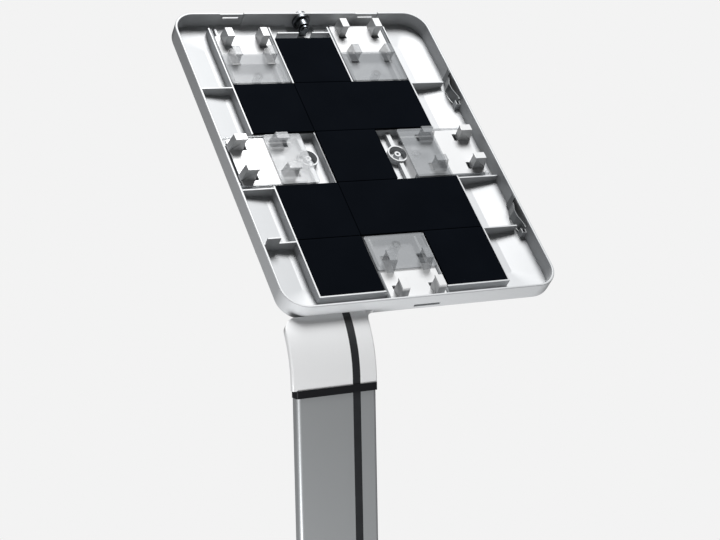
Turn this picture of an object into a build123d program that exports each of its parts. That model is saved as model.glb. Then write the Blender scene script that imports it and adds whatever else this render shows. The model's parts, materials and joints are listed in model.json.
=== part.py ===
from build123d import *
import math
import os

# Tablet floor stand with an open holder tray.
# Frame: origin at the centre of the underside of the base, +Z up, the stand faces -Y.
# All lengths in millimetres.

# ---------------------------------------------------------------- driving dimensions
# tray
TRAY_W, TRAY_H, TRAY_D = 260.0, 338.4, 20.5   # outside width, height, depth
TRAY_R = 22.0          # corner radius of the outline
WALL = 2.3             # rim and side walls
FLOOR_EDGE = -14.6     # inside floor at the walls, measured down from the rim plane
FLOOR_AT = -18.2       # inside floor under the grid; the floor is dished
DISH = 27.0            # width of the sloping border of the floor
DISH_R = 3.0           # corner radius of the level middle of the floor
LOCK_ROOM_W, LOCK_ROOM_AT = 28.0, -17.2       # level pocket in the floor under the lock
BACK_R = 7.2           # rounded back edge
RIM_R = 0.8            # rounded rim
TRAY_CENTRE_Z = 1030.0
RECLINE = 45.0         # tray leans back from the vertical

# pocket grid moulded in the tray
CELL = 60.0            # pitch of the pockets
COL0, ROW_END = -93.5, -154.0                 # left and lower edges of the grid
COLS = [COL0 + CELL * i for i in range(4)]
ROWS = [ROW_END + CELL * i for i in range(5, -1, -1)]
ROWS[0] -= 1.7                                # the top row is a little shorter
GRID_REACH = 158.0     # the upright grid walls run on up to here
RIDGE_Y = 150.8        # ridge behind the lock
SIDE_RIBS = [82.3, -36.5, -95.5]
RIB = 1.3
GRID_TOP = -8.5        # outer grid walls
PAD_SEAT = -10.2       # walls under the pads
PAD_TOP = -8.0
PAD_GAP = 0.4

# sliding clips: a clear plate with two hooks and two long side arms, and a white slide with two
# hooks that runs between the arms, under the plate
PLATE_W, PLATE_T, PLATE_TOP = 57.2, 1.5, -8.4
END_PLATE_L, END_HOOK, END_ARM, END_PILLAR = 36.5, 25.7, 70.0, -17.6     # from the inner end
SIDE_PLATE_L, SIDE_HOOK, SIDE_ARM, SIDE_PILLAR = 35.4, 19.3, 74.0, -11.8
ARM_W, ARM_TOP = 1.6, -9.4
PILLAR_AT, PILLAR_D, PILLAR_BORE = 9.7, 8.5, 4.0
SLIDE_W, SLIDE_L, SLIDE_HOOK = 53.0, 37.0, 24.2
SLIDE_T, SLIDE_TOP = 1.5, PLATE_TOP - PLATE_T - 0.3
RAIL_TOP = SLIDE_TOP - SLIDE_T - 0.4
RAIL_START, RAIL_END = 24.0, 122.0            # side rails: from the centre column, from the middle
HOOK_TOP, HOOK_W, HOOK_L, HOOK_SLOPE = 3.0, 7.0, 10.0, 3.5
HOOK_HALF_PITCH, HOOK_LIP = 17.3, 1.2
WINDOW_L = 3.5
SCREW_D = 4.0

# latch springs on the right wall: upper ends along the tray, length, lower edge
LATCHES = [90.0, -67.0]
LATCH_L, LATCH_LOW, LATCH_ROOM = 34.0, -13.8, 6.3

# raised tab on the lowest left rib
TAB_X, TAB_TOP = (-122.0, -110.0), -1.5

# cam lock in the top wall
LOCK_X, LOCK_AT = 1.5, -7.8
LOCK_D, LOCK_END = 12.0, 156.0

# neck and pole
POLE_LEFT, POLE_W = -128.0, 71.0
POLE_FRONT = -128.5
POLE_SIDE, POLE_DEPTH = 8.6, 24.0             # flat side, full depth of the section
POLE_WALL = 2.5
POLE_EDGE_R, NECK_EDGE_R = 3.2, 1.5
BEND_R = 85.0                                 # front face of the neck
BEND_START_Z = TRAY_CENTRE_Z - 179.0
NECK_LEFT, NECK_RIGHT = -131.7, -56.2
NECK_T, NECK_SIDE = 12.5, 4.0                 # full depth, flat sides in front of the drawn-in back
NECK_CORNER_R, FLARE_R = 12.0, 7.0            # top left and top right of the wide part
SEAT_X, SEAT_END = (-112.0, -66.0), -40.0     # plate under the tray: sides, upper end
BAND_LOW, BAND_HIGH = TRAY_CENTRE_Z - 190.3, TRAY_CENTRE_Z - 184.0
BAND_PROUD = 0.6
SHOULDER_H = 9.0
STRIP_X, STRIP_W, STRIP_T = -75.1, 6.9, 1.2
TONGUE_T, TONGUE_L = 8.0, 60.0

# base
BASE_W, BASE_DEPTH, BASE_T, BASE_R = 400.0, 340.0, 8.0, 30.0
FOOT_D, FOOT_H = 30.0, 3.0
ANCHOR_D, ANCHOR_X, ANCHOR_Y = 9.0, 162.0, 135.0
FLANGE_T, FLANGE_EDGE = 5.0, 9.0

# ---------------------------------------------------------------- frames and helpers
lean = math.radians(RECLINE)
TRAY = Plane(
    origin=(0, 0, TRAY_CENTRE_Z),
    x_dir=(1, 0, 0),
    z_dir=(0, -math.cos(lean), math.sin(lean)),
)
BASE_TOP = FOOT_H + BASE_T
PARTS = {}


def box(x0, x1, y0, y1, z0, z1):
    """Box between two corners."""
    return Pos((x0 + x1) / 2, (y0 + y1) / 2, (z0 + z1) / 2) * Box(x1 - x0, y1 - y0, z1 - z0)


def rod(x, y, z0, z1, d):
    """Upright cylinder."""
    return Pos(x, y, (z0 + z1) / 2) * Cylinder(d / 2, z1 - z0)


def rod_y(x, y0, y1, z, d):
    """Cylinder lying along Y."""
    return Pos(x, (y0 + y1) / 2, z) * Rot(90, 0, 0) * Cylinder(d / 2, y1 - y0)


def rounded_block(w, h, r, z0, z1):
    """Rounded rectangle, z0 to z1."""
    return Pos(0, 0, z0) * extrude(RectangleRounded(w, h, r), z1 - z0)


# ---------------------------------------------------------------- tray moulding
def tray_envelope():
    """Outside of the tray, filled."""
    block = rounded_block(TRAY_W, TRAY_H, TRAY_R, -TRAY_D, 0)
    back = block.edges().filter_by_position(Axis.Z, -TRAY_D - 0.01, -TRAY_D + 0.01)
    return fillet(back, BACK_R)


def tray_cavity():
    """Inside of the tray: straight walls, then a floor that slopes down from them."""
    w, h, r = TRAY_W - 2 * WALL, TRAY_H - 2 * WALL, TRAY_R - WALL
    border = Pos(0, 0, FLOOR_EDGE) * RectangleRounded(w, h, r)
    middle = Pos(0, 0, FLOOR_AT) * RectangleRounded(w - 2 * DISH, h - 2 * DISH, DISH_R)
    return rounded_block(w, h, r, FLOOR_EDGE, 1) + loft([middle, border])


def grid_walls():
    """Pocket grid, side ribs and slide rails standing on the floor."""
    low, half = FLOOR_AT - 0.5, RIB / 2
    left, right = COLS[0], COLS[3]
    wall_face = TRAY_W / 2 - WALL
    walls = []
    # outer walls: left and right of the grid, low in the third row where the side clips pass
    for x in (left, right):
        walls.append(box(x - half, x + half, ROWS[2], GRID_REACH, low, GRID_TOP))
        walls.append(box(x - half, x + half, ROWS[5] - half, ROWS[3], low, GRID_TOP))
        walls.append(box(x - half, x + half, ROWS[3], ROWS[2], low, RAIL_TOP))
    # outer walls: bottom of the grid, low under the bottom clip
    walls.append(box(left - half, COLS[1] + half, ROWS[5] - half, ROWS[5] + half, low, GRID_TOP))
    walls.append(box(COLS[2] - half, right + half, ROWS[5] - half, ROWS[5] + half, low, GRID_TOP))
    walls.append(box(COLS[1], COLS[2], ROWS[5] - half, ROWS[5] + half, low, RAIL_TOP))
    # columns between the pockets
    for x in COLS[1:3]:
        walls.append(box(x - half, x + half, ROWS[1], GRID_REACH, low, GRID_TOP))
        walls.append(box(x - half, x + half, ROWS[5] - half, ROWS[1], low, PAD_SEAT))
    # rows between the pockets
    for y in ROWS[1:5]:
        walls.append(box(left, right, y - half, y + half, low, PAD_SEAT))
    walls.append(box(COLS[1], COLS[2], ROWS[0] - RIB, ROWS[0], low, PAD_SEAT))
    # ridge behind the lock, in two lengths
    for x0, x1 in ((COLS[1] + 6.5, LOCK_X - 7.0), (LOCK_X + 7.0, COLS[2])):
        walls.append(box(x0, x1, RIDGE_Y - half, RIDGE_Y + half, low, GRID_TOP))
    # cross ribs of the side compartments; two right-hand ones stop short of the latch springs
    for y in SIDE_RIBS:
        reach = wall_face + 0.5 if y == SIDE_RIBS[1] else wall_face - LATCH_ROOM
        walls.append(box(-wall_face - 0.5, left, y - half, y + half, low, GRID_TOP))
        walls.append(box(right, reach, y - half, y + half, low, GRID_TOP))
    # raised tab by the left wall
    walls.append(box(TAB_X[0], TAB_X[1], SIDE_RIBS[2] - half, SIDE_RIBS[2] + half, low, TAB_TOP))
    # rails under the clips
    for x, y0, y1 in ((COLS[0], ROWS[1], 160.0), (COLS[2], ROWS[1], 160.0), (COLS[1], -162.0, ROWS[4])):
        for dx in (8.0, CELL - 8.0):
            walls.append(box(x + dx - 1, x + dx + 1, y0, y1, low, RAIL_TOP))
    for y in (ROWS[3] + 8.0, ROWS[2] - 8.0):
        walls.append(box(-RAIL_END, COLS[1] - RAIL_START, y - 1, y + 1, low, RAIL_TOP))
        walls.append(box(COLS[2] + RAIL_START, RAIL_END, y - 1, y + 1, low, RAIL_TOP))
    return walls


MID_X = (COLS[1] + COLS[2]) / 2
MID_Y = (ROWS[2] + ROWS[3]) / 2
RINGS = [(-48.5, -1.0), (40.5, -1.0)]
RING_D, RING_WALL, RING_RIB = 19.0, 1.3, 4.0
DRAIN_X = -121.0
TRAY_SCREWS = [(-86.0, -122.0), (-71.0, -122.0), (-86.0, -62.0), (-71.0, -62.0)]


def rear_shell():
    shell = tray_envelope() - tray_cavity()
    rim = [e for e in shell.edges() if abs(e.center().Z) < 0.001]
    shell = fillet(rim, RIM_R)
    shell = shell + grid_walls()
    for x, y in TRAY_SCREWS:
        shell = shell + rod(x, y, FLOOR_AT - 0.5, PAD_SEAT, 9.0)
    # ring bosses on the floor, each with a small pillar inside and a rib on two sides
    for x, y in RINGS:
        side = RING_RIB / 2
        shell = shell + box(x - side, x + side, ROWS[3], ROWS[2], FLOOR_AT - 0.5, RAIL_TOP - 1.5)
        shell = shell - rod(x, y, FLOOR_AT, 0, RING_D - 2)
        ring = rod(x, y, FLOOR_AT - 0.5, RAIL_TOP, RING_D) - rod(x, y, FLOOR_AT, 0, RING_D - 2 * RING_WALL)
        shell = shell + ring + rod(x, y, FLOOR_AT - 0.5, RAIL_TOP - 0.8, 6.0)
        shell = shell - rod(x, y, FLOOR_AT, 0, 2.6)
    # threaded holes for the neck screws
    for x, y in TRAY_SCREWS:
        shell = shell - rod(x, y, -TRAY_D - 1, PAD_SEAT - 0.5, SCREW_D)
    # level pocket under the lock
    inner_top = TRAY_H / 2 - WALL
    half = LOCK_ROOM_W / 2
    shell = shell - box(LOCK_X - half, LOCK_X + half, RIDGE_Y + RIB / 2, inner_top, LOCK_ROOM_AT, 0)
    # cover hook recesses and slots in the top wall
    for x in (-69.5, 69.5):
        shell = shell - box(x - 12, x + 12, inner_top - 1, inner_top + 0.9, FLOOR_EDGE + 0.2, 1.0)
        shell = shell - box(x - 12, x + 12, inner_top, TRAY_H / 2 + 1, -1.2, 1.0)
        shell = shell - box(x - 8, x + 8, inner_top - 1, inner_top + 5, -6.2, -4.6)
    # hook slot low in the bottom wall
    shell = shell - box(-12, 13, -TRAY_H / 2 - 1, -TRAY_H / 2 + 1.7, -12.8, -10.2)
    # two small drain holes by the left wall
    for y in (72.0, -50.0):
        shell = shell - rod(DRAIN_X, y, -TRAY_D - 1, 0, 2.0)
    # hole for the lock
    shell = shell - rod_y(LOCK_X, inner_top - 2, TRAY_H / 2 + 1, LOCK_AT, LOCK_D)
    # sockets holding the feet of the latch springs
    wall_face = TRAY_W / 2 - WALL
    for y in LATCHES:
        foot = y - LATCH_L
        socket = box(wall_face - 4.6, wall_face + 0.5, foot - 3.6, foot + 1.6, FLOOR_AT - 0.5, -8.0)
        slot = box(wall_face - 3.5, wall_face - 1.3, foot - 2.8, foot + 3.0, LATCH_LOW - 0.4, 0.0)
        shell = shell + (socket - slot)
    return shell


PARTS["rear_shell"] = TRAY * rear_shell()


# ---------------------------------------------------------------- foam pads
def pad_inset(outer):
    """Room left at an edge of a pad, by a grid wall or by another pad."""
    return RIB / 2 + 0.15 if outer else PAD_GAP / 2


def pad(col0, col1, row):
    """Pad over the pockets col0..col1 of a row, inside the outer grid walls."""
    x0 = COLS[col0] + pad_inset(col0 == 0 or row == 0)
    x1 = COLS[col1] - pad_inset(col1 == 3 or row == 0)
    y1 = ROWS[row] - pad_inset(row == 0)
    y0 = ROWS[row + 1] + pad_inset(row == 4)
    return box(x0, x1, y0, y1, PAD_SEAT, PAD_TOP)


PADS = {
    "pad_row1_centre": (1, 2, 0),
    "pad_row2_left": (0, 1, 1),
    "pad_row2_wide": (1, 3, 1),
    "pad_row3_centre": (1, 2, 2),
    "pad_row4_left": (0, 1, 3),
    "pad_row4_wide": (1, 3, 3),
    "pad_row5_left": (0, 1, 4),
    "pad_row5_right": (2, 3, 4),
}
for name, (c0, c1, row) in PADS.items():
    PARTS[name] = TRAY * pad(c0, c1, row)


# ---------------------------------------------------------------- sliding clips
def hooks(y, plate_low):
    """Two hooks whose upright faces stand on y and face -Y, with sloping backs."""
    side = Plane.YZ * make_face(Polyline(
        (y, plate_low + 0.2), (y, HOOK_TOP - 2.2), (y - HOOK_LIP, HOOK_TOP - 1.6), (y - HOOK_LIP, HOOK_TOP),
        (y + HOOK_L, HOOK_TOP), (y + HOOK_L + HOOK_SLOPE, plate_low + 0.2), close=True))
    hook = Pos(-HOOK_W / 2, 0, 0) * extrude(side, HOOK_W)
    return [Pos(x, 0, 0) * hook for x in (-HOOK_HALF_PITCH, HOOK_HALF_PITCH)]


def windows(y, low, top):
    """Cut-outs in the plate in front of the hooks."""
    half = HOOK_W / 2 + 0.4
    return [box(x - half, x + half, y - WINDOW_L, y, low - 1, top + 1)
            for x in (-HOOK_HALF_PITCH, HOOK_HALF_PITCH)]


def clip(length, hook_at, arm_end, pillar_end):
    """Clear plate from y = 0 (inner end) to y = length, with its arms and a hollow pillar below."""
    low = PLATE_TOP - PLATE_T
    body = Pos(0, length / 2, low) * extrude(RectangleRounded(PLATE_W, length, 2), PLATE_T)
    body = body + hooks(hook_at, low) - windows(hook_at, low, PLATE_TOP)
    for side in (-1, 1):
        x0, x1 = sorted((side * PLATE_W / 2, side * (PLATE_W / 2 - ARM_W)))
        body = body + box(x0, x1, 2.0, arm_end, SLIDE_TOP - SLIDE_T, ARM_TOP)
    body = body + rod(0, PILLAR_AT, pillar_end, low + 0.1, PILLAR_D)
    return body - rod(0, PILLAR_AT, pillar_end - 1, low - 0.7, PILLAR_BORE)


def clip_slide():
    """White slide with its inner end on y = 0."""
    low = SLIDE_TOP - SLIDE_T
    plate = Pos(0, SLIDE_L / 2, low) * extrude(RectangleRounded(SLIDE_W, SLIDE_L, 2), SLIDE_T)
    return plate + hooks(SLIDE_HOOK, low) - windows(SLIDE_HOOK, low, SLIDE_TOP)


end_clip = clip(END_PLATE_L, END_HOOK, END_ARM, END_PILLAR)
side_clip = clip(SIDE_PLATE_L, SIDE_HOOK, SIDE_ARM, SIDE_PILLAR)
slide = clip_slide()
# name: clip, inner end of the clip, inner end of the slide, direction of the outer end
CLIPS = {
    "top_left": (end_clip, (MID_X - CELL, 87.6), (MID_X - CELL, 112.3), 0),
    "top_right": (end_clip, (MID_X + CELL, 87.6), (MID_X + CELL, 123.5), 0),
    "bottom": (end_clip, (MID_X, -95.6), (MID_X, -127.2), 180),
    "middle_left": (side_clip, (-49.1, MID_Y), (-82.9, MID_Y), 90),
    "middle_right": (side_clip, (47.7, MID_Y), (82.5, MID_Y), -90),
}
for name, (clear_clip, at, slide_at, turn) in CLIPS.items():
    PARTS["clip_" + name] = TRAY * (Pos(*at, 0) * Rot(0, 0, turn) * clear_clip)
    PARTS["slide_" + name] = TRAY * (Pos(*slide_at, 0) * Rot(0, 0, turn) * slide)

# ---------------------------------------------------------------- cam lock
inner_top = TRAY_H / 2 - WALL
barrel = rod_y(LOCK_X, LOCK_END, TRAY_H / 2 + 0.5, LOCK_AT, LOCK_D)
barrel = barrel + rod_y(LOCK_X, TRAY_H / 2, TRAY_H / 2 + 2.0, LOCK_AT, 15.0)
barrel = barrel - box(LOCK_X - 0.8, LOCK_X + 0.8, TRAY_H / 2 - 6, TRAY_H / 2 + 3, LOCK_AT - 3.2, LOCK_AT + 3.2)
PARTS["lock_barrel"] = TRAY * barrel
nut = chamfer(rod_y(LOCK_X, inner_top - 4.0, inner_top, LOCK_AT, 17.0).edges(), 0.7)
PARTS["lock_nut"] = TRAY * (nut - rod_y(LOCK_X, 160, 170, LOCK_AT, LOCK_D))
cam_low, cam_high = LOCK_END - 2.6, LOCK_END - 0.6
cam = rod_y(LOCK_X, cam_low, cam_high, LOCK_AT, 9.0)
cam = cam + box(LOCK_X - 3.0, LOCK_X + 3.0, cam_low, cam_high, LOCK_AT - 8.0, LOCK_AT)
cam = cam + rod_y(LOCK_X, cam_low - 1.2, cam_low + 0.1, LOCK_AT, 6.0)
PARTS["lock_cam"] = TRAY * cam


# ---------------------------------------------------------------- latch springs
def latch(top):
    """Bowed strip along the right wall with an upright tongue at its upper end."""
    face = TRAY_W / 2 - WALL
    foot = top - LATCH_L
    outline = make_face(Polyline(
        (face - 2.9, foot), (face - 2.9, foot + 3.0), (face - 5.4, foot + 12.0),
        (face - 5.4, foot + 19.0), (face - 2.2, top - 6.0), (face - 2.2, top),
        (face - 1.4, top), (face - 1.4, top - 6.4), (face - 4.5, foot + 19.2),
        (face - 4.5, foot + 11.8), (face - 1.9, foot + 2.8), (face - 1.9, foot),
        close=True))
    strip = Pos(0, 0, LATCH_LOW) * extrude(outline, -3.4 - LATCH_LOW)
    tongue = box(face - 2.2, face - 0.9, top - 5.0, top, LATCH_LOW, 1.2)
    return strip + tongue + rod(face - 2.4, foot, LATCH_LOW, -3.4, 2.0)


PARTS["latch_upper"] = TRAY * latch(LATCHES[0])
PARTS["latch_lower"] = TRAY * latch(LATCHES[1])


# ---------------------------------------------------------------- neck
def neck_profile(front, back, low, high):
    """Side view of the neck between two offsets behind its front face.

    The front face is upright, bends back through RECLINE degrees about a centre
    behind it, and runs on along the tray to `high`.
    """
    cy, cz = POLE_FRONT + BEND_R, BEND_START_Z

    def on(offset, angle):
        r = BEND_R - offset
        return (cy - r * math.cos(angle), cz + r * math.sin(angle))

    def along(point, distance):
        return (point[0] + distance * math.sin(lean), point[1] + distance * math.cos(lean))

    f0, f1, f2 = on(front, 0), on(front, lean / 2), on(front, lean)
    b0, b1, b2 = on(back, 0), on(back, lean / 2), on(back, lean)
    foot = math.sin(lean) * f2[0] + math.cos(lean) * (f2[1] - TRAY_CENTRE_Z)
    run = high - foot
    edges = [
        Line((f0[0], low), f0), ThreePointArc(f0, f1, f2), Line(f2, along(f2, run)),
        Line(along(f2, run), along(b2, run)),
        Line(along(b2, run), b2), ThreePointArc(b2, b1, b0), Line(b0, (b0[0], low)),
        Line((b0[0], low), (f0[0], low)),
    ]
    return Plane.YZ * make_face(edges)


def neck_solid(front, back, x0, x1, low, high):
    return Pos(x0, 0, 0) * extrude(neck_profile(front, back, low, high), x1 - x0)


def side_edges(solid, facing):
    """Edges along the two sides of the front (-1) or back (1) faces of the wide part."""
    faces = [f for f in solid.faces() if abs(f.normal_at().X) < 0.1
             and facing * f.normal_at().Y > 0.3 and facing * f.normal_at().Z < 0.1]
    return [e for f in faces for e in f.edges()
            if min(abs(e.center().X - x) for x in (NECK_LEFT, NECK_RIGHT)) < 0.01]


NECK_TOP = -TRAY_H / 2
neck = neck_solid(0, NECK_T, NECK_LEFT, NECK_RIGHT, BAND_HIGH, NECK_TOP + 20)
neck = fillet(side_edges(neck, -1), NECK_EDGE_R)
neck = chamfer(side_edges(neck, 1), NECK_T - NECK_SIDE)
# wide part ends at the tray, with a rounded corner on the left and a small flare on the right
corner = box(NECK_LEFT - 1, NECK_LEFT + NECK_CORNER_R, NECK_TOP - NECK_CORNER_R, NECK_TOP + 1, -60, 5)
corner = corner - rod(NECK_LEFT + NECK_CORNER_R, NECK_TOP - NECK_CORNER_R, -60, 5, 2 * NECK_CORNER_R)
neck = neck - TRAY * box(NECK_LEFT - 1, NECK_RIGHT + 1, NECK_TOP, NECK_TOP + 60, -60, 5) - TRAY * corner
flare = box(NECK_RIGHT - 1, NECK_RIGHT + FLARE_R, NECK_TOP - FLARE_R, NECK_TOP, -60, 5)
flare = flare - rod(NECK_RIGHT + FLARE_R, NECK_TOP - FLARE_R, -60, 5, 2 * FLARE_R)
flare_slab = neck_solid(0.6, NECK_SIDE, NECK_RIGHT - 2, NECK_RIGHT + FLARE_R, BAND_HIGH, NECK_TOP + 20)
neck = neck + flare_slab.intersect(TRAY * flare)
neck = neck + neck_solid(0, NECK_T, SEAT_X[0], SEAT_X[1], BAND_HIGH, SEAT_END)
neck = neck - TRAY * tray_envelope()
neck = neck - neck_solid(-1, STRIP_T, STRIP_X - STRIP_W / 2, STRIP_X + STRIP_W / 2, BAND_HIGH - 1, SEAT_END)
tongue = box(POLE_LEFT + 12, POLE_LEFT + POLE_W - 12, POLE_FRONT + POLE_WALL + 0.2,
             POLE_FRONT + POLE_WALL + 0.2 + TONGUE_T, BAND_HIGH - TONGUE_L, BAND_HIGH + 1)
neck = neck + tongue
for x, y in TRAY_SCREWS:
    neck = neck - TRAY * rod(x, y, -30, -15, 4.6)
PARTS["neck"] = neck

strip = neck_solid(0, STRIP_T, STRIP_X - STRIP_W / 2, STRIP_X + STRIP_W / 2, BAND_HIGH, SEAT_END)
PARTS["neck_strip"] = strip - TRAY * tray_envelope()

screws = []
neck_front = (BEND_START_Z - TRAY_CENTRE_Z) * math.sin(lean) - (POLE_FRONT + BEND_R) * math.cos(lean) + BEND_R
neck_back = neck_front - NECK_T - 0.05
for x, y in TRAY_SCREWS:
    body = rod(x, y, neck_back - 2.4, neck_back, 8.0)
    body = body + rod(x, y, neck_back - 0.1, PAD_SEAT - 1.0, SCREW_D)
    screws.append(body - Pos(x, y, neck_back - 2.5) * extrude(RegularPolygon(1.7, 6), 1.5))
PARTS["tray_screws"] = TRAY * Compound(children=screws)


# ---------------------------------------------------------------- pole
def pole_outline(grow=0.0):
    """Flat front, short flat sides, back drawn in at 45 degrees."""
    x0, x1 = POLE_LEFT, POLE_LEFT + POLE_W
    y0, y1, y2 = POLE_FRONT, POLE_FRONT + POLE_SIDE, POLE_FRONT + POLE_DEPTH
    inset = POLE_DEPTH - POLE_SIDE
    points = [(x0, y0), (x1, y0), (x1, y1), (x1 - inset, y2), (x0 + inset, y2), (x0, y1)]
    face = make_face(Polyline(*points, close=True))
    return offset(face, amount=grow, kind=Kind.INTERSECTION) if grow else face


def pole_prism(z0, z1, grow=0.0):
    return Pos(0, 0, z0) * extrude(pole_outline(grow), z1 - z0)


FLANGE_TOP = BASE_TOP + FLANGE_T
pole = pole_prism(FLANGE_TOP, BAND_LOW)
upright = [e for e in pole.edges().filter_by(Axis.Z) if abs(e.center().Y - POLE_FRONT) < 0.1]
pole = fillet(upright, POLE_EDGE_R)
pole = pole - pole_prism(FLANGE_TOP - 1, BAND_LOW + 1, -POLE_WALL)
strip_box = (STRIP_X - STRIP_W / 2, STRIP_X + STRIP_W / 2, POLE_FRONT - 1, POLE_FRONT + STRIP_T)
pole = pole - box(*strip_box, FLANGE_TOP - 1, BAND_LOW + 1)
PARTS["pole_strip"] = box(strip_box[0], strip_box[1], POLE_FRONT, strip_box[3], FLANGE_TOP, BAND_LOW)

band = pole_prism(BAND_LOW, BAND_HIGH, BAND_PROUD)
band = fillet(band.edges().filter_by(Axis.Z), 1.5)
band = band - box(POLE_LEFT + 12, POLE_LEFT + POLE_W - 12, POLE_FRONT + POLE_WALL + 0.2,
                  POLE_FRONT + POLE_WALL + 0.2 + TONGUE_T, BAND_LOW - 1, BAND_HIGH + 1)
PARTS["joint_band"] = band

shoulder = pole_prism(BAND_HIGH, BAND_HIGH + SHOULDER_H)
neck_room = box(POLE_LEFT - 1, POLE_LEFT + POLE_W + 1, POLE_FRONT - 1, POLE_FRONT + NECK_T + 0.6,
                BAND_HIGH - 1, BAND_HIGH + SHOULDER_H + 1)
PARTS["neck_shoulder"] = shoulder - neck_room

# set screws through the back of the pole into the neck tongue and the foot tongue
SET_X = (POLE_LEFT + POLE_W / 2 - 10, POLE_LEFT + POLE_W / 2 + 10)
SET_Z = (BAND_LOW - 22.0, BAND_LOW - 42.0)
FOOT_SET_Z = (FLANGE_TOP + 15.0, FLANGE_TOP + 32.0)
tongue_back = POLE_FRONT + POLE_WALL + 0.2 + TONGUE_T
for z in SET_Z + FOOT_SET_Z:
    for x in SET_X:
        pole = pole - rod_y(x, tongue_back + 1, POLE_FRONT + POLE_DEPTH + 2, z, 6.0)
PARTS["pole"] = pole


def set_screw(x, z):
    body = rod_y(x, tongue_back, POLE_FRONT + POLE_DEPTH - 0.4, z, 6.0)
    socket = Pos(x, POLE_FRONT + POLE_DEPTH, z) * Rot(90, 0, 0) * extrude(RegularPolygon(1.9, 6), 3.0)
    return body - socket


PARTS["neck_set_screws"] = Compound(children=[set_screw(x, z) for z in SET_Z for x in SET_X])
PARTS["foot_set_screws"] = Compound(children=[set_screw(x, z) for z in FOOT_SET_Z for x in SET_X])

# ---------------------------------------------------------------- foot and base
flange = pole_prism(BASE_TOP, FLANGE_TOP, FLANGE_EDGE)
flange = fillet(flange.edges().filter_by(Axis.Z), 4.0)
flange = flange + box(POLE_LEFT + 12, POLE_LEFT + POLE_W - 12, POLE_FRONT + POLE_WALL + 0.2,
                      tongue_back, FLANGE_TOP - 1, FLANGE_TOP + 45.0)
BASE_SCREWS = [(x, y) for x in (POLE_LEFT + 14, POLE_LEFT + POLE_W - 14)
               for y in (POLE_FRONT - 2.5,)] + [(x, POLE_FRONT + POLE_DEPTH + 1.5)
                                              for x in (POLE_LEFT + 24, POLE_LEFT + POLE_W - 24)]
for x, y in BASE_SCREWS:
    flange = flange - rod(x, y, BASE_TOP - 1, FLANGE_TOP - 0.8, 5.0)
PARTS["foot_flange"] = flange

base = rounded_block(BASE_W, BASE_DEPTH, BASE_R, FOOT_H, BASE_TOP)
base = chamfer(base.edges().filter_by_position(Axis.Z, BASE_TOP - 0.01, BASE_TOP + 0.01), 1.0)
for x in (-ANCHOR_X, ANCHOR_X):
    for y in (-ANCHOR_Y, ANCHOR_Y):
        base = base - rod(x, y, FOOT_H - 1, BASE_TOP + 1, ANCHOR_D)
for x, y in BASE_SCREWS:
    base = base - rod(x, y, FOOT_H - 1, BASE_TOP + 1, 5.0) - rod(x, y, FOOT_H - 1, FOOT_H + 3.2, 10.5)
PARTS["base_plate"] = base


def base_screw(x, y):
    body = rod(x, y, FOOT_H + 0.2, FOOT_H + 3.2, 10.0) + rod(x, y, FOOT_H + 3.1, FLANGE_TOP - 1.0, 5.0)
    return body - Pos(x, y, FOOT_H) * extrude(RegularPolygon(2.3, 6), 2.2)


PARTS["base_screws"] = Compound(children=[base_screw(x, y) for x, y in BASE_SCREWS])
PARTS["rubber_feet"] = Compound(children=[
    rod(x, y, 0, FOOT_H, FOOT_D) for x in (-170.0, 170.0) for y in (-105.0, 105.0)])

# ---------------------------------------------------------------- export
os.makedirs("parts", exist_ok=True)
for name, shape in PARTS.items():
    export_step(shape, "parts/" + name + ".step")
    size = shape.bounding_box().size
    print(f"{name:20s} {size.X:8.1f} {size.Y:8.1f} {size.Z:8.1f}  solids {len(shape.solids())}")
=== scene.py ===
# %% [markdown]
# # A tablet floor stand with an open holder tray
# The stand has a white moulded tray that leans back, a bent neck, a flat extruded pole
# and a steel base plate. The rigid parts come from the CAD model, in metres, already in
# place. This lesson gives them their finishes, makes the foam pads and eases the sharp
# edges of the moulded parts, and then lights the stand like a small product studio.

# %% Load the CAD frame
import json
import math
import bmesh
import bpy
import numpy as np
from mathutils import Matrix, Vector


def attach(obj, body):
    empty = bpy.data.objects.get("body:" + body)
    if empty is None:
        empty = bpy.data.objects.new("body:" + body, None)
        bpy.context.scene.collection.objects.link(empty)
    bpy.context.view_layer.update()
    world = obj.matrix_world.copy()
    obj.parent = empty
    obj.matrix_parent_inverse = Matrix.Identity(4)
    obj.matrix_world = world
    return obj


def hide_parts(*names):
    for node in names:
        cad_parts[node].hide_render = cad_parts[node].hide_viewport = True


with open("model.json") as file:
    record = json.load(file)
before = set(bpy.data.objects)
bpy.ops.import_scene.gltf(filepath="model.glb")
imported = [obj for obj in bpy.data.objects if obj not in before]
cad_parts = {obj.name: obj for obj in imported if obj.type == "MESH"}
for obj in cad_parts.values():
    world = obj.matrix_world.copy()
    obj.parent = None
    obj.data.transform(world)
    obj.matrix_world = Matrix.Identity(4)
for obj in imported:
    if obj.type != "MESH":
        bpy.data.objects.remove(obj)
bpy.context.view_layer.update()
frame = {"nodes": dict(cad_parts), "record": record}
parts = frame["nodes"]

# %% [markdown]
# ## The tray's own axes
# Nearly everything sits in the tray, which leans back at 45 degrees. It is easier to
# think in the tray's own directions: across, up the tray, and outwards from its rim.
# The centre of the rim plane is found from the shell's box, half its depth above the
# middle.

# %% Tray coordinates
MM = 0.001
across = Vector((1, 0, 0))
up_tray = Vector((0, math.sqrt(0.5), math.sqrt(0.5)))
outward = Vector((0, -math.sqrt(0.5), math.sqrt(0.5)))
TRAY_AXES = np.array([across, up_tray, outward])


def points_of(node):
    """The vertices of a CAD node as an array."""
    mesh = parts[node].data
    flat = np.empty(len(mesh.vertices) * 3)
    mesh.vertices.foreach_get("co", flat)
    return flat.reshape(-1, 3)


shell_reach = points_of("rear_shell") @ TRAY_AXES.T
shell_middle = (shell_reach.min(axis=0) + shell_reach.max(axis=0)) / 2
shell_middle[2] = shell_reach[:, 2].max()
tray_centre = Vector(shell_middle @ TRAY_AXES)


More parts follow.
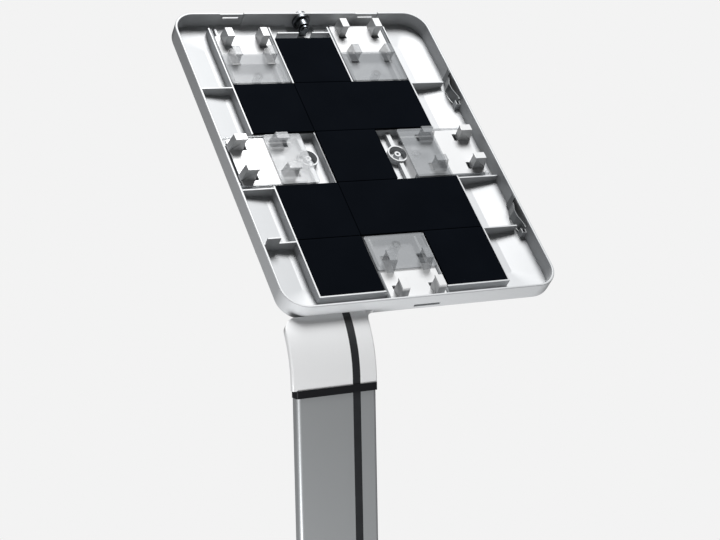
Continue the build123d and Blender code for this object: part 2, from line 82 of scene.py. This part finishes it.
def tray_extent(node):
    """Lowest and highest corner of a node in tray millimetres: across, up, outwards."""
    local = (points_of(node) - np.array(tray_centre)) @ TRAY_AXES.T / MM
    return local.min(axis=0), local.max(axis=0)


def from_tray(local):
    """Tray millimetres to scene metres: centre + across * a + up * b + outward * w."""
    return np.array(tray_centre) + np.asarray(local) * MM @ TRAY_AXES


print("tray centre:", [round(c, 4) for c in tray_centre])

# %% [markdown]
# ## Camera
# The stand is seen from its left front, a little above the tray, with a long lens. The
# camera is only tipped down a few degrees, so most of the pole falls below the frame.

# %% Camera
YAW, PITCH, ROLL = math.radians(27.25), math.radians(7.36), math.radians(-1.10)
CAMERA_OFFSET = Vector((-655.2, -1264.4, 73.2)) * MM
LENS_MM = 80.84

forward = Vector((math.sin(YAW) * math.cos(PITCH), math.cos(YAW) * math.cos(PITCH),
                  -math.sin(PITCH)))
level_right = Vector((math.cos(YAW), -math.sin(YAW), 0))
level_up = level_right.cross(forward)
right = level_right * math.cos(ROLL) + level_up * math.sin(ROLL)
up = level_up * math.cos(ROLL) - level_right * math.sin(ROLL)
camera_data = bpy.data.cameras.new("studio_camera")
camera_data.lens = LENS_MM
camera_data.clip_start, camera_data.clip_end = 0.05, 60
camera = bpy.data.objects.new("studio_camera", camera_data)
camera.matrix_world = Matrix.Translation(tray_centre + CAMERA_OFFSET) @ Matrix(
    (right, up, -forward)).transposed().to_4x4()
bpy.context.scene.collection.objects.link(camera)
bpy.context.scene.camera = camera
print("camera:", [round(c, 3) for c in camera.matrix_world.translation])

# %% [markdown]
# ## Colours and nodes
# Colours are written as sRGB hex values, as a paint chart gives them, and one function
# turns them into the linear values that the renderer wants. A second small function adds
# a node, sets it up and links it, which keeps each finish below short.

# %% Colour and node helpers


def linear(hex_colour):
    """sRGB hex to linear RGBA: c/12.92 below 0.04045, else ((c + 0.055) / 1.055) ** 2.4."""
    c = np.array([int(hex_colour[i:i + 2], 16) for i in (0, 2, 4)]) / 255
    rgb = np.where(c <= 0.04045, c / 12.92, ((c + 0.055) / 1.055) ** 2.4)
    return (*rgb.tolist(), 1.0)


def add(tree, kind, inputs=(), **settings):
    """Adds a node; inputs are (socket, value or other node's output) pairs."""
    made = tree.nodes.new(kind)
    for key, value in settings.items():
        setattr(made, key, value)
    for key, value in inputs:
        if isinstance(value, bpy.types.NodeSocket):
            tree.links.new(value, made.inputs[key])
        else:
            made.inputs[key].default_value = value
    return made


def new_finish(name):
    """An empty material and its node tree."""
    material = bpy.data.materials.new(name)
    material.use_nodes = True
    material.node_tree.nodes.clear()
    return material, material.node_tree


def close_finish(tree, shader):
    """Links the shader to the material's output."""
    add(tree, "ShaderNodeOutputMaterial", [("Surface", shader.outputs[0])])


finishes = {}
print("white card FFFFFF is", linear("FFFFFF")[:3])

# %% [markdown]
# ## Moulded ABS
# The tray with its grid, and the shoulder behind the neck, are silver-white ABS. The
# tool was spark eroded, which leaves a fine, even grain that spreads highlights. The
# real grain is about 0.3 mm, too fine to show here, so it is drawn at 2 mm. A very
# faint cloudy change of roughness, about 60 mm across, stands for handling. The slides
# are ABS from a polished tool, so they shine a little more. The latch springs are grey
# acetal, a tougher and slicker plastic, drawn with the same grain.

# %% Finish: silver-white moulded ABS
GRAIN_MM, HANDLED_MM, ABS_IOR = 2.0, 60.0, 1.54


def moulded_abs(name, colour, roughness, grain=0.06):
    """ABS with a spark-eroded grain: noise drives a weak bump and a little roughness."""
    material, tree = new_finish(name)
    place = add(tree, "ShaderNodeTexCoord").outputs["Object"]
    noise = add(tree, "ShaderNodeTexNoise",
                [("Vector", place), ("Scale", 1 / (GRAIN_MM * MM)), ("Detail", 3.0)])
    cloud = add(tree, "ShaderNodeTexNoise",
                [("Vector", place), ("Scale", 1 / (HANDLED_MM * MM)), ("Detail", 2.0)])
    rough = add(tree, "ShaderNodeMapRange",
                [("Value", cloud.outputs["Fac"]), ("To Min", roughness - 0.05),
                 ("To Max", roughness + 0.05)])
    bump = add(tree, "ShaderNodeBump",
               [("Height", noise.outputs["Fac"]), ("Strength", grain), ("Distance", 0.1 * MM)])
    shader = add(tree, "ShaderNodeBsdfPrincipled",
                 [("Base Color", linear(colour)), ("IOR", ABS_IOR),
                  ("Roughness", rough.outputs["Result"]), ("Normal", bump.outputs["Normal"])])
    close_finish(tree, shader)
    return material


finishes["shell_white"] = moulded_abs("silver_white_moulded_abs", "A9ABAD", 0.42)
finishes["white_clip"] = moulded_abs("white_polished_abs", "BFC0C1", 0.26, 0.03)
finishes["spring_plastic"] = moulded_abs("grey_acetal_spring", "5E6163", 0.30)
finishes["black_plastic"] = moulded_abs("black_moulded_abs", "0E0F12", 0.38)
print("moulded plastics:", sorted(finishes))

# %% [markdown]
# ## Clear polycarbonate
# The upper plate of each clip, with its hooks, is clear polycarbonate with a polished
# surface. Seen in thin walls it is a pale grey veil: some light goes straight through and
# the rest is caught by the plastic. A part-transparent surface gives that look cleanly,
# where true refraction in a small crowded box turns into a noisy sparkle.

# %% Finish: clear polycarbonate
RIPPLE_MM, CLEAR_ALPHA, POLYCARBONATE_IOR = 14.0, 0.42, 1.585
material, tree = new_finish("clear_polished_polycarbonate")
place = add(tree, "ShaderNodeTexCoord").outputs["Object"]
ripple = add(tree, "ShaderNodeTexNoise",
             [("Vector", place), ("Scale", 1 / (RIPPLE_MM * MM)), ("Detail", 1.0)])
bump = add(tree, "ShaderNodeBump",
           [("Height", ripple.outputs["Fac"]), ("Strength", 0.05), ("Distance", 0.3 * MM)])
shader = add(tree, "ShaderNodeBsdfPrincipled",
             [("Base Color", linear("9A9DA0")), ("Roughness", 0.18), ("IOR", POLYCARBONATE_IOR),
              ("Alpha", CLEAR_ALPHA), ("Specular IOR Level", 0.3),
              ("Normal", bump.outputs["Normal"])])
close_finish(tree, shader)
finishes["clear_clip"] = material
print("polycarbonate alpha:", CLEAR_ALPHA)

# %% [markdown]
# ## Anodised aluminium
# The neck and the pole are aluminium extrusions. Drawing the metal through a die leaves
# faint lines along its length, and anodising turns the shine into an even satin. The
# lines are about 0.2 mm apart on the real metal and are drawn at 1.5 mm so that they
# show. The neck is anodised bright silver and the pole a deeper grey.

# %% Finish: anodised aluminium, drawn lines along Z
LINE_MM, LINE_RUN_MM = 1.5, 120.0


def anodised(name, colour, roughness, metallic):
    """Satin metal whose noise is stretched along Z, so that it reads as drawing lines."""
    material, tree = new_finish(name)
    place = add(tree, "ShaderNodeTexCoord").outputs["Object"]
    stretch = add(tree, "ShaderNodeMapping",
                  [("Vector", place),
                   ("Scale", (1 / (LINE_MM * MM), 1 / (LINE_MM * MM), 1 / (LINE_RUN_MM * MM)))])
    lines = add(tree, "ShaderNodeTexNoise",
                [("Vector", stretch.outputs["Vector"]), ("Scale", 1.0), ("Detail", 2.0)])
    rough = add(tree, "ShaderNodeMapRange",
                [("Value", lines.outputs["Fac"]), ("To Min", roughness - 0.02),
                 ("To Max", roughness + 0.02)])
    bump = add(tree, "ShaderNodeBump",
               [("Height", lines.outputs["Fac"]), ("Strength", 0.02), ("Distance", 0.05 * MM)])
    shader = add(tree, "ShaderNodeBsdfPrincipled",
                 [("Base Color", linear(colour)), ("Metallic", metallic),
                  ("Roughness", rough.outputs["Result"]), ("Normal", bump.outputs["Normal"])])
    close_finish(tree, shader)
    return material


finishes["aluminium_light"] = anodised("bright_silver_anodised_aluminium", "EDEEEF", 0.40, 0.3)
finishes["aluminium_grey"] = anodised("grey_silver_anodised_aluminium", "BABDBF", 0.42, 0.7)
print("aluminium finishes: bright for the neck, grey for the pole")

# %% [markdown]
# ## Rubber, steel and paint
# The inlay strip and the feet are EPDM rubber: dark, matt, with a little dust that
# lightens it. The base plate is steel with a satin powder coat, whose fine orange-peel
# surface is about 1.5 mm across. Screws are zinc plated and the lock is dark nickel.

# %% Finish: EPDM rubber
DUST_MM, RUBBER_IOR = 9.0, 1.52


def rubber(name, colour, roughness):
    """Matt rubber: noise mixes the rubber's colour with a slightly dusty one."""
    material, tree = new_finish(name)
    place = add(tree, "ShaderNodeTexCoord").outputs["Object"]
    dust = add(tree, "ShaderNodeTexNoise",
               [("Vector", place), ("Scale", 1 / (DUST_MM * MM)), ("Detail", 4.0)])
    tint = add(tree, "ShaderNodeMix",
               [(0, dust.outputs["Fac"]), (6, linear(colour)), (7, linear("1D1F22"))],
               data_type="RGBA")
    bump = add(tree, "ShaderNodeBump",
               [("Height", dust.outputs["Fac"]), ("Strength", 0.1), ("Distance", 0.1 * MM)])
    shader = add(tree, "ShaderNodeBsdfPrincipled",
                 [("Base Color", tint.outputs[2]), ("Roughness", roughness), ("IOR", RUBBER_IOR),
                  ("Normal", bump.outputs["Normal"])])
    close_finish(tree, shader)
    return material


finishes["black_strip"] = rubber("black_extruded_epdm", "0C0D10", 0.5)
finishes["rubber"] = rubber("black_moulded_rubber", "151517", 0.75)
print("rubber finishes ready")

# %% Finish: zinc-plated steel and dark nickel
PLATING_MM = 3.0


def plated(name, colour, roughness):
    """Plated steel: fine cloudy noise changes the roughness of a bright metal."""
    material, tree = new_finish(name)
    place = add(tree, "ShaderNodeTexCoord").outputs["Object"]
    cloud = add(tree, "ShaderNodeTexNoise",
                [("Vector", place), ("Scale", 1 / (PLATING_MM * MM)), ("Detail", 3.0)])
    rough = add(tree, "ShaderNodeMapRange",
                [("Value", cloud.outputs["Fac"]), ("To Min", roughness - 0.08),
                 ("To Max", roughness + 0.08)])
    shader = add(tree, "ShaderNodeBsdfPrincipled",
                 [("Base Color", linear(colour)), ("Metallic", 1.0),
                  ("Roughness", rough.outputs["Result"])])
    close_finish(tree, shader)
    return material


finishes["steel"] = plated("zinc_plated_steel", "BFC1C4", 0.35)
finishes["lock_metal"] = plated("dark_nickel_plated_zinc", "5A5D60", 0.38)
print("plated finishes ready")

# %% Finish: satin powder coat
PEEL_MM = 1.5
material, tree = new_finish("silver_satin_powder_coat")
place = add(tree, "ShaderNodeTexCoord").outputs["Object"]
peel = add(tree, "ShaderNodeTexNoise",
           [("Vector", place), ("Scale", 1 / (PEEL_MM * MM)), ("Detail", 1.0)])
bump = add(tree, "ShaderNodeBump",
           [("Height", peel.outputs["Fac"]), ("Strength", 0.12), ("Distance", 0.1 * MM)])
shader = add(tree, "ShaderNodeBsdfPrincipled",
             [("Base Color", linear("B2B5B7")), ("Metallic", 0.35), ("Roughness", 0.45),
              ("Normal", bump.outputs["Normal"])])
close_finish(tree, shader)
finishes["steel_painted"] = material
print("powder coat ready")

# %% [markdown]
# ## Closed-cell foam
# The pads are black closed-cell foam with a smooth skin. Under studio light the skin
# shows hardly any sheen, with a slow change of tone about 40 mm across, and a trace of
# cells about 1 mm across, drawn here at 1.6 mm.

# %% Finish: black skinned foam
CELL_MM, TONE_MM = 1.6, 40.0
material, tree = new_finish("black_skinned_closed_cell_foam")
place = add(tree, "ShaderNodeTexCoord").outputs["Object"]
cells = add(tree, "ShaderNodeTexVoronoi", [("Vector", place), ("Scale", 1 / (CELL_MM * MM))])
tone = add(tree, "ShaderNodeTexNoise",
           [("Vector", place), ("Scale", 1 / (TONE_MM * MM)), ("Detail", 2.0)])
tint = add(tree, "ShaderNodeMix",
           [(0, tone.outputs["Fac"]), (6, linear("04060A")), (7, linear("080B10"))],
           data_type="RGBA")
bump = add(tree, "ShaderNodeBump",
           [("Height", cells.outputs["Distance"]), ("Strength", 0.06), ("Distance", 0.1 * MM)])
shader = add(tree, "ShaderNodeBsdfPrincipled",
             [("Base Color", tint.outputs[2]), ("Roughness", 0.7), ("IOR", 1.45),
              ("Specular IOR Level", 0.006), ("Normal", bump.outputs["Normal"])])
close_finish(tree, shader)
finishes["foam"] = material
print("foam ready")

# %% [markdown]
# ## Give every CAD node its finish
# The record names a material slot for each node, so one loop dresses them all.

# %% Dress the CAD nodes


def dress(thing, slot):
    """Replaces the material slots of an object by one finish."""
    thing.data.materials.clear()
    thing.data.materials.append(finishes[slot])


slot_of = {entry["node"]: entry["material_slot"] for entry in frame["record"]["subparts"]}
for node, thing in parts.items():
    dress(thing, slot_of[node])
body_of = {}
for body, nodes in frame["record"]["behaviour"]["bodies"].items():
    body_of.update(dict.fromkeys(nodes, body))
print("dressed", len(slot_of), "nodes with", len(set(slot_of.values())), "finishes")

# %% [markdown]
# ## Foam pads
# Each pad is a slab of foam that lies in the grid. Cutting leaves its edges slightly
# round, and its sides pull in a little between top and bottom. The pad is one closed
# surface of two parameters: one goes round the outline, the other runs from the middle
# of the top, over the edge, and back to the middle of the underside.

# %% A pad as a surface of two parameters
EDGE_MM, CORNER_MM, CROWN_MM, PULL_MM = 0.45, 1.2, 0.12, 0.15
CORNER_STEPS, TOP_STEPS, EDGE_STEPS, SIDE_STEPS, TOP_START = 10, 14, 5, 4, 0.04


def rounded_outline(half_w, half_h, radius, turn):
    """Point of a rounded rectangle at each angle in turn.

    Corner centres are the half sizes less the radius, with the sign of cos and sin;
    each point is its corner centre plus radius times (cos, sin).
    """
    c, s = np.cos(turn), np.sin(turn)
    return (np.sign(c) * (half_w - radius) + radius * c,
            np.sign(s) * (half_h - radius) + radius * s)


def pad_surface(low, high):
    """Grid of points: rings of the outline, inset and lifted along the pad's profile.

    The profile is quarter circles of EDGE_MM at both edges, joined by a side pulled in
    by PULL_MM * sin(pi * height), and by tops that crown by CROWN_MM * (1 - k * k).
    """
    half_w, half_h = (high[0] - low[0]) / 2, (high[1] - low[1]) / 2
    middle = (np.asarray(low) + np.asarray(high)) / 2
    quarter = (np.arange(CORNER_STEPS) + 0.5) / CORNER_STEPS * math.pi / 2
    turn = np.concatenate([quarter + k * math.pi / 2 for k in range(4)])
    flat = np.linspace(TOP_START, 1.0, TOP_STEPS)
    bend = np.linspace(0.0, 1.0, EDGE_STEPS + 1)[1:] * math.pi / 2
    side = np.linspace(0.0, 1.0, SIDE_STEPS + 2)[1:-1]
    top_w, low_w = high[2] - EDGE_MM, low[2] + EDGE_MM
    inset = np.concatenate([
        np.full(TOP_STEPS, EDGE_MM), EDGE_MM * (1 - np.sin(bend)),
        PULL_MM * np.sin(math.pi * side),
        EDGE_MM * (1 - np.sin(bend[::-1])), np.full(TOP_STEPS, EDGE_MM)])
    height = np.concatenate([
        high[2] + CROWN_MM * (1 - flat ** 2), top_w + EDGE_MM * np.cos(bend),
        top_w + (low_w - top_w) * side, low_w - EDGE_MM * np.cos(bend[::-1]),
        np.full(TOP_STEPS, low[2])])
    scale = np.concatenate([flat, np.ones(2 * EDGE_STEPS + SIDE_STEPS), flat[::-1]])
    x, y = rounded_outline(half_w, half_h, CORNER_MM, turn[None, :])
    x = (x - np.sign(x) * inset[:, None]) * scale[:, None] + middle[0]
    y = (y - np.sign(y) * inset[:, None]) * scale[:, None] + middle[1]
    return np.stack([x, y, np.broadcast_to(height[:, None], x.shape)], axis=-1)


def closed_mesh(name, rings):
    """Mesh of rings joined in order, with a fan closing the first and the last ring."""
    count, around = rings.shape[:2]
    points = np.concatenate([rings.reshape(-1, 3), rings[:1].mean(axis=1), rings[-1:].mean(axis=1)])
    row, col = np.meshgrid(np.arange(count - 1), np.arange(around), indexing="ij")
    nxt = (col + 1) % around
    quads = np.stack([row * around + col, (row + 1) * around + col,
                      (row + 1) * around + nxt, row * around + nxt], axis=-1).reshape(-1, 4)
    ring = np.arange(around)
    first = np.stack([np.full(around, count * around), ring, (ring + 1) % around], axis=-1)
    last_row = (count - 1) * around
    last = np.stack([np.full(around, count * around + 1),
                     last_row + (ring + 1) % around, last_row + ring], axis=-1)
    mesh = bpy.data.meshes.new(name)
    mesh.from_pydata(points.tolist(), [], quads.tolist() + first.tolist() + last.tolist())
    mesh.validate()
    mesh.shade_smooth()
    return mesh


def new_piece(name, mesh, body, slot):
    """Links a piece, makes it ride on a body and gives it a finish."""
    piece = bpy.data.objects.new(name, mesh)
    bpy.context.scene.collection.objects.link(piece)
    dress(piece, slot)
    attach(piece, body)
    return piece


# %% Lay the pads
pad_nodes = sorted(node for node in parts if node.startswith("pad_"))
for node in pad_nodes:
    low, high = tray_extent(node)
    rings = from_tray(pad_surface(low, high - np.array([0, 0, CROWN_MM])))
    piece = new_piece("foam_" + node, closed_mesh("foam_" + node, rings), body_of[node], "foam")
    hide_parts(node)
print("pads laid:", len(pad_nodes))

# %% [markdown]
# ## Eased edges
# A moulded or cast part never has a razor edge: the light catches a thin bright line
# along every corner. A copy of the CAD mesh is merged, its flat facets are joined into
# whole faces, and a Bevel modifier rounds the edges by a quarter of a millimetre. Only
# the clips and slides are done: they are small, bright and sharp, so it shows there.

# %% Copies with eased edges
EASE_MM, MERGE_MM, SAME_FACE, SHARP_EDGE = 0.25, 0.01, math.radians(1), math.radians(35)


def eased(node):
    """Stands a flat-shaded copy with rounded edges in for a CAD node."""
    mesh = parts[node].data.copy()
    work = bmesh.new()
    work.from_mesh(mesh)
    bmesh.ops.remove_doubles(work, verts=work.verts, dist=MERGE_MM * MM)
    bmesh.ops.dissolve_limit(work, angle_limit=SAME_FACE, verts=work.verts, edges=work.edges)
    for face in work.faces:
        face.smooth = False
    work.to_mesh(mesh)
    work.free()
    piece = new_piece("eased_" + node, mesh, body_of[node], slot_of[node])
    bevel = piece.modifiers.new("eased_edges", "BEVEL")
    bevel.width = EASE_MM * MM
    bevel.segments = 2
    bevel.limit_method = "ANGLE"
    bevel.angle_limit = SHARP_EDGE
    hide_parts(node)


for node in sorted(parts):
    if node.startswith(("clip_", "slide_")):
        eased(node)

# %% [markdown]
# ## Studio
# The floor is a plain pale disc that fades into the backdrop, so no horizon line shows.
# The disc is rings of points: radius times (cos, sin) of the angle, joined ring to ring,
# and closed in the middle by one face.

# %% Floor
FLOOR_R, FADE_FROM, FADE_TO = 6.0, 0.5, 1.5
HOLE_R, FLOOR_DROP, SIDES = 0.02, 0.0005, 96
turn = np.linspace(0, 2 * math.pi, SIDES, endpoint=False)
reach = np.array([HOLE_R, FADE_FROM, FADE_TO, FLOOR_R])
disc = np.stack([reach[:, None] * np.cos(turn), reach[:, None] * np.sin(turn),
                 np.full((len(reach), SIDES), -FLOOR_DROP)], axis=-1)
floor_mesh = bpy.data.meshes.new("studio_floor")
row, col = np.meshgrid(np.arange(len(reach) - 1), np.arange(SIDES), indexing="ij")
nxt = (col + 1) % SIDES
quads = np.stack([row * SIDES + col, (row + 1) * SIDES + col,
                  (row + 1) * SIDES + nxt, row * SIDES + nxt], axis=-1).reshape(-1, 4)
floor_mesh.from_pydata(disc.reshape(-1, 3).tolist(), [], quads.tolist() + [list(range(SIDES))])
floor = bpy.data.objects.new("studio_floor", floor_mesh)
bpy.context.scene.collection.objects.link(floor)

material, tree = new_finish("pale_painted_floor")
place = add(tree, "ShaderNodeTexCoord").outputs["Object"]
distance = add(tree, "ShaderNodeVectorMath", [(0, place)], operation="LENGTH")
fade = add(tree, "ShaderNodeMapRange",
           [("Value", distance.outputs["Value"]), ("From Min", FADE_FROM), ("From Max", FADE_TO)],
           interpolation_type="SMOOTHSTEP")
paint = add(tree, "ShaderNodeBsdfPrincipled",
            [("Base Color", linear("F2F2F2")), ("Roughness", 0.7)])
clear = add(tree, "ShaderNodeBsdfTransparent")
mixed = add(tree, "ShaderNodeMixShader",
            [(0, fade.outputs["Result"]), (1, paint.outputs[0]), (2, clear.outputs[0])])
close_finish(tree, mixed)
floor.data.materials.append(material)
print("floor radius:", FLOOR_R, "m")

# %% [markdown]
# ## Lights
# One wide panel hangs high above the tray, up the tray from its middle, so faces that
# look out of the tray are bright while its inner walls and the hooks' near sides stay
# grey. A panel near the floor, below the rim's plane, lifts only the outside of the
# tray, the neck and the pole. The world shows a pale grey background to the camera and
# adds a weak even light.

# %% World and lights
BACKDROP, AMBIENT = "F3F3F3", 0.08
world = bpy.data.worlds.new("soft_studio")
bpy.context.scene.world = world
world.use_nodes = True
tree = world.node_tree
tree.nodes.clear()
seen = add(tree, "ShaderNodeBackground", [("Color", linear(BACKDROP)), ("Strength", 1.0)])
lit = add(tree, "ShaderNodeBackground", [("Color", linear("FFFFFF")), ("Strength", AMBIENT)])
ray = add(tree, "ShaderNodeLightPath")
both = add(tree, "ShaderNodeMixShader",
           [(0, ray.outputs["Is Camera Ray"]), (1, lit.outputs[0]), (2, seen.outputs[0])])
add(tree, "ShaderNodeOutputWorld", [("Surface", both.outputs[0])])


def panel(name, offset, size, watts, spread=180.0):
    """A square light panel at an offset from the tray centre, facing the tray.

    The spread, in degrees, is how far from straight ahead the light still reaches.
    """
    data = bpy.data.lights.new(name, "AREA")
    data.size, data.energy, data.spread = size, watts, math.radians(spread)
    lamp = bpy.data.objects.new(name, data)
    lamp.location = tray_centre + Vector(offset)
    lamp.rotation_mode = "QUATERNION"
    lamp.rotation_quaternion = (-Vector(offset)).to_track_quat("-Z", "Y")
    lamp.visible_camera = False
    bpy.context.scene.collection.objects.link(lamp)


panel("high_panel", offset=(0.35, -0.3, 2.1), size=0.9, watts=98)
panel("low_panel", offset=(-0.62, -0.58, -0.86), size=0.4, watts=5, spread=100)
bpy.context.scene.view_settings.view_transform = "Standard"

# %% [markdown]
# ## Finish
# The view layer is brought up to date once more, so every piece stands where it was placed.
# The dressed stand must fill the same box as the CAD one.

# %% Finish: update the view layer
bpy.context.view_layer.update()
